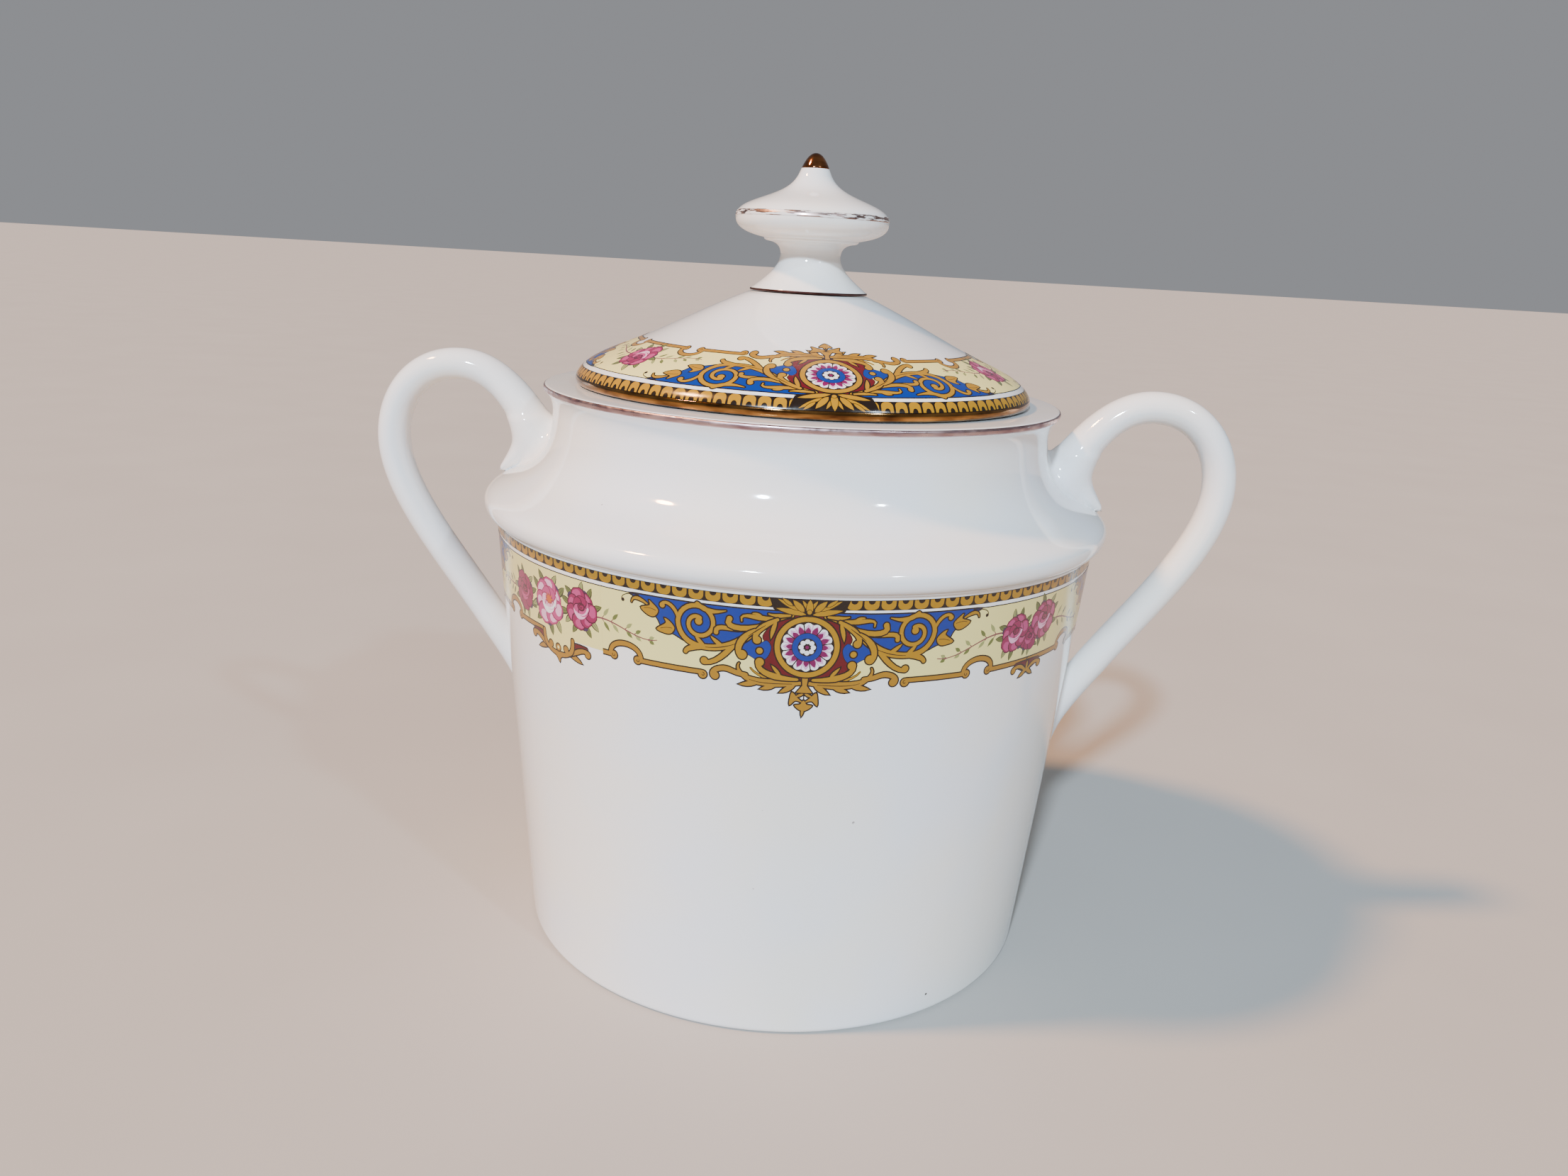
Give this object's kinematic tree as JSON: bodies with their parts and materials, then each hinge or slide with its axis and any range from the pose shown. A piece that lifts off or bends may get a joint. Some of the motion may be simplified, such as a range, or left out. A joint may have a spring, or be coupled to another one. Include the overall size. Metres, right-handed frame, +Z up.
{
  "type": "sugar bowl",
  "caption": "Lidded porcelain sugar bowl: tapered drum, rounded shoulder, waisted neck, loop handles, and a domed lift-off lid with a disc-and-spire knob.",
  "frame": {"origin": "centre of the foot, on the surface the bowl stands on", "axes": "+Z up along the bowl's axis, +X towards the right handle, -Y towards the front of the decoration"},
  "size_m": [0.167, 0.1188, 0.1493],
  "materials": {
    "porcelain": "clear gloss glaze over white porcelain, with worn gilt lines on the knob",
    "decorated_porcelain": "clear gloss glaze over white porcelain, with an enamelled border and gilt edges",
    "gilding": "thin burnished gilding fired on the glaze, worn along the rim"
  },
  "bodies": {
    "bowl": {"bowl_body": "decorated_porcelain", "handle_left": "porcelain", "handle_right": "porcelain"},
    "lid": {"lid_dome": "decorated_porcelain", "lid_knob": "porcelain"}
  },
  "joints": [
    {"name": "lid_lift", "type": "slide", "parent": "bowl", "child": "lid", "axis": [0, 0, 1], "range_m": [0, 0.08]}
  ]
}
